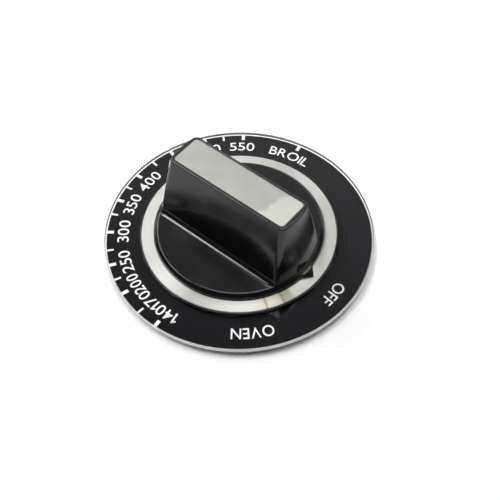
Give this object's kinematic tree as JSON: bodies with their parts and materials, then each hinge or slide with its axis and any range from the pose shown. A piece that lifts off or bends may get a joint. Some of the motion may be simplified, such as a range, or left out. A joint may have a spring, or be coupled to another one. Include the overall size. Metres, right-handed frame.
{
  "type": "oven control knob",
  "caption": "Round oven control knob: a black bar grip handle on a printed temperature dial, with a D-shaft socket behind and a dial that can be reset against the handle.",
  "frame": {"origin": "centre of the hub's end face, at the mouth of the shaft socket, where the knob stands on a table", "axes": "+Z along the shaft axis out of the oven's panel towards the grip, +X along the grip towards the pointer, which points at OFF"},
  "size_m": [0.0712, 0.0712, 0.0241],
  "materials": {
    "handle_black": "gloss moulded black plastic",
    "inlay_metal": "satin bright aluminium strip",
    "ring_metal": "bright aluminium ring",
    "dial_acrylic": "clear acrylic printed black on its back",
    "plated_steel": "zinc plated",
    "spring_steel": "spring temper"
  },
  "bodies": {
    "handle": {"knob_handle": "handle_black", "grip_inlay": "inlay_metal", "trim_ring": "ring_metal", "locking_plate": "plated_steel", "locking_screws": "plated_steel", "shaft_spring": "spring_steel"},
    "dial": {"dial": "dial_acrylic"}
  },
  "joints": [
    {"name": "dial_reset", "type": "hinge", "parent": "handle", "child": "dial", "pos_m": [0, 0, 0.0032], "axis": [0, 0, 1], "range_deg": [-21.4, 21.4]}
  ]
}
